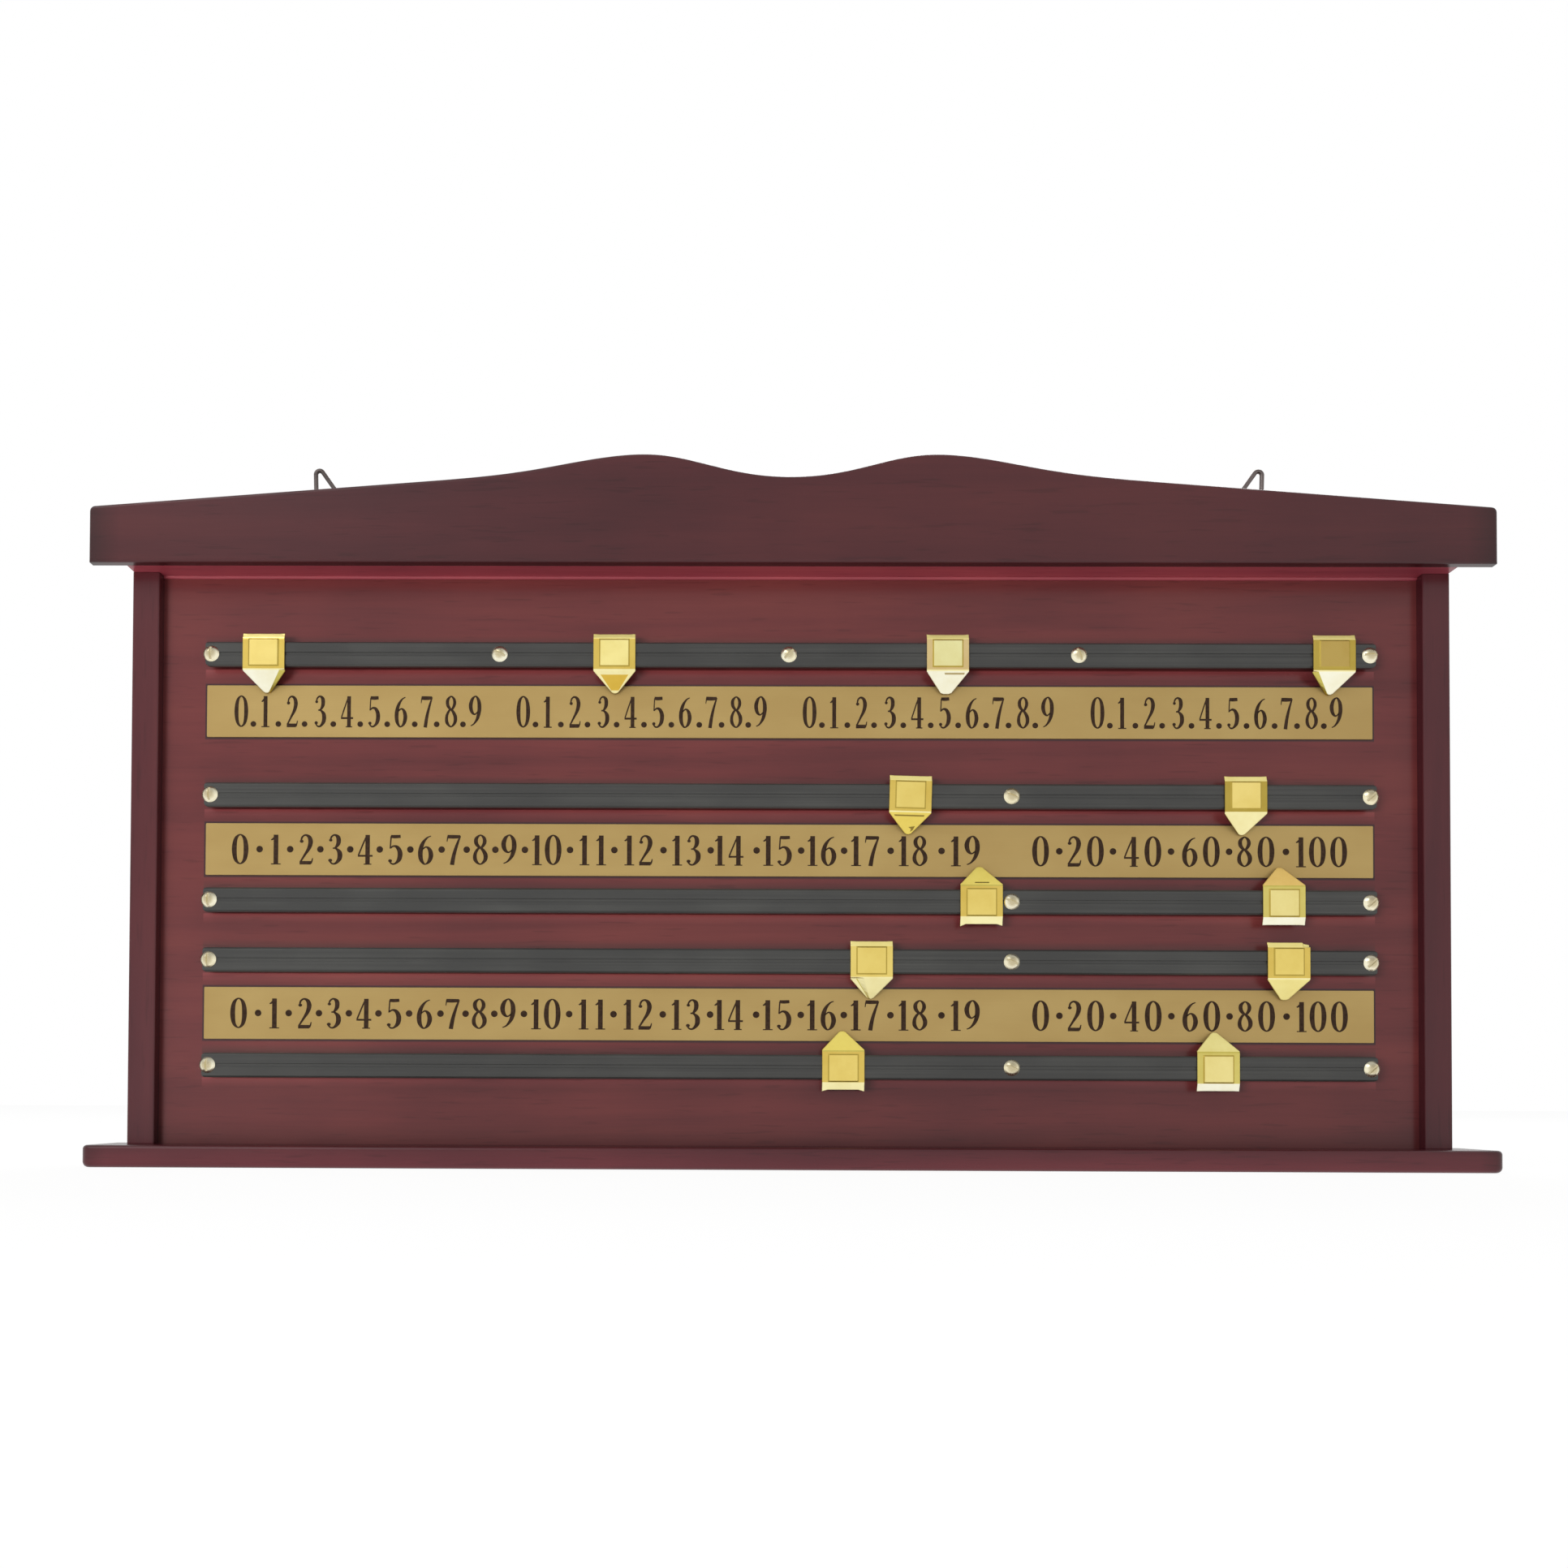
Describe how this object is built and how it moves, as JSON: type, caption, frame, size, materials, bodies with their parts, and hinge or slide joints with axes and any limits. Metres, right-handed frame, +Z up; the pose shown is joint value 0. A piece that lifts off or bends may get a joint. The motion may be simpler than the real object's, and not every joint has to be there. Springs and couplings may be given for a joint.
{
  "type": "snooker scoreboard",
  "caption": "Wall scoreboard for snooker: a framed wooden board with gold number strips, black rails, sliding brass pointers, a humped crest, a shelf and two hinged hanging rings.",
  "frame": {"origin": "middle of the top board's rear edge, on the wall plane", "axes": "+X to the right as the board is read, +Y into the wall, +Z up"},
  "size_m": [0.7662, 0.045, 0.3945],
  "materials": {
    "lacquered_wood": "dark red-brown mahogany stain under satin lacquer",
    "panel_wood": "the same stain, a little lighter, satin lacquer",
    "number_strip": "satin gold, with printed dark numbers",
    "rail_black": "satin black",
    "brass_screw": "bright polished, slotted",
    "pointer_brass": "bright pressed sheet",
    "hanger_steel": "zinc plated",
    "hanger_wire": "bright plated wire",
    "hidden_screw": "yellow zinc plated",
    "dowel_wood": "plain beech"
  },
  "bodies": {
    "board": {"top_board": "lacquered_wood", "crest_board": "lacquered_wood", "left_side": "lacquered_wood", "right_side": "lacquered_wood", "bottom_shelf": "lacquered_wood", "head_bead": "lacquered_wood", "back_panel": "panel_wood", "number_strip_row_1": "number_strip", "number_strip_row_2": "number_strip", "number_strip_row_3": "number_strip", "rail_row_1": "rail_black", "rail_row_2_upper": "rail_black", "rail_row_2_lower": "rail_black", "rail_row_3_upper": "rail_black", "rail_row_3_lower": "rail_black", "rail_screws_row_1": "brass_screw", "rail_screws_row_2_upper": "brass_screw", "rail_screws_row_2_lower": "brass_screw", "rail_screws_row_3_upper": "brass_screw", "rail_screws_row_3_lower": "brass_screw", "hanger_strap_left": "hanger_steel", "hanger_strap_right": "hanger_steel", "hanger_screws": "hanger_steel", "top_screws": "hidden_screw", "shelf_screws": "hidden_screw", "panel_screws": "hidden_screw", "crest_dowels": "dowel_wood"},
    "pointer_row_1_first": {"pointer_row_1_first": "pointer_brass"},
    "pointer_row_1_second": {"pointer_row_1_second": "pointer_brass"},
    "pointer_row_1_third": {"pointer_row_1_third": "pointer_brass"},
    "pointer_row_1_fourth": {"pointer_row_1_fourth": "pointer_brass"},
    "pointer_row_2_upper_units": {"pointer_row_2_upper_units": "pointer_brass"},
    "pointer_row_2_upper_twenties": {"pointer_row_2_upper_twenties": "pointer_brass"},
    "pointer_row_2_lower_units": {"pointer_row_2_lower_units": "pointer_brass"},
    "pointer_row_2_lower_twenties": {"pointer_row_2_lower_twenties": "pointer_brass"},
    "pointer_row_3_upper_units": {"pointer_row_3_upper_units": "pointer_brass"},
    "pointer_row_3_upper_twenties": {"pointer_row_3_upper_twenties": "pointer_brass"},
    "pointer_row_3_lower_units": {"pointer_row_3_lower_units": "pointer_brass"},
    "pointer_row_3_lower_twenties": {"pointer_row_3_lower_twenties": "pointer_brass"},
    "hanger_ring_left": {"hanger_ring_left": "hanger_wire"},
    "hanger_ring_right": {"hanger_ring_right": "hanger_wire"}
  },
  "joints": [
    {"name": "pointer_row_1_first_slide", "type": "slide", "parent": "board", "child": "pointer_row_1_first", "axis": [1, 0, 0], "range_m": [-0.013, 0.11445]},
    {"name": "pointer_row_1_second_slide", "type": "slide", "parent": "board", "child": "pointer_row_1_second", "axis": [1, 0, 0], "range_m": [-0.04725, 0.0802]},
    {"name": "pointer_row_1_third_slide", "type": "slide", "parent": "board", "child": "pointer_row_1_third", "axis": [1, 0, 0], "range_m": [-0.0713, 0.05615]},
    {"name": "pointer_row_1_fourth_slide", "type": "slide", "parent": "board", "child": "pointer_row_1_fourth", "axis": [1, 0, 0], "range_m": [-0.12385, 0.0036]},
    {"name": "pointer_row_2_upper_units_slide", "type": "slide", "parent": "board", "child": "pointer_row_2_upper_units", "axis": [1, 0, 0], "range_m": [-0.3713, 0.0395]},
    {"name": "pointer_row_2_upper_twenties_slide", "type": "slide", "parent": "board", "child": "pointer_row_2_upper_twenties", "axis": [1, 0, 0], "range_m": [-0.1121, 0.0525]},
    {"name": "pointer_row_2_lower_units_slide", "type": "slide", "parent": "board", "child": "pointer_row_2_lower_units", "axis": [1, 0, 0], "range_m": [-0.4104, 0.0004]},
    {"name": "pointer_row_2_lower_twenties_slide", "type": "slide", "parent": "board", "child": "pointer_row_2_lower_twenties", "axis": [1, 0, 0], "range_m": [-0.1329, 0.0317]},
    {"name": "pointer_row_3_upper_units_slide", "type": "slide", "parent": "board", "child": "pointer_row_3_upper_units", "axis": [1, 0, 0], "range_m": [-0.35, 0.0608]},
    {"name": "pointer_row_3_upper_twenties_slide", "type": "slide", "parent": "board", "child": "pointer_row_3_upper_twenties", "axis": [1, 0, 0], "range_m": [-0.1354, 0.0292]},
    {"name": "pointer_row_3_lower_units_slide", "type": "slide", "parent": "board", "child": "pointer_row_3_lower_units", "axis": [1, 0, 0], "range_m": [-0.3345, 0.0763]},
    {"name": "pointer_row_3_lower_twenties_slide", "type": "slide", "parent": "board", "child": "pointer_row_3_lower_twenties", "axis": [1, 0, 0], "range_m": [-0.0966, 0.068]},
    {"name": "hanger_ring_left_hinge", "type": "hinge", "parent": "board", "child": "hanger_ring_left", "pos_m": [-0.254, -0.00531, 0.02], "axis": [0.9483, 0, 0.3173], "range_deg": [-140, 55]},
    {"name": "hanger_ring_right_hinge", "type": "hinge", "parent": "board", "child": "hanger_ring_right", "pos_m": [0.254, -0.00531, 0.02], "axis": [0.9483, 0, -0.3173], "range_deg": [-140, 55]}
  ]
}
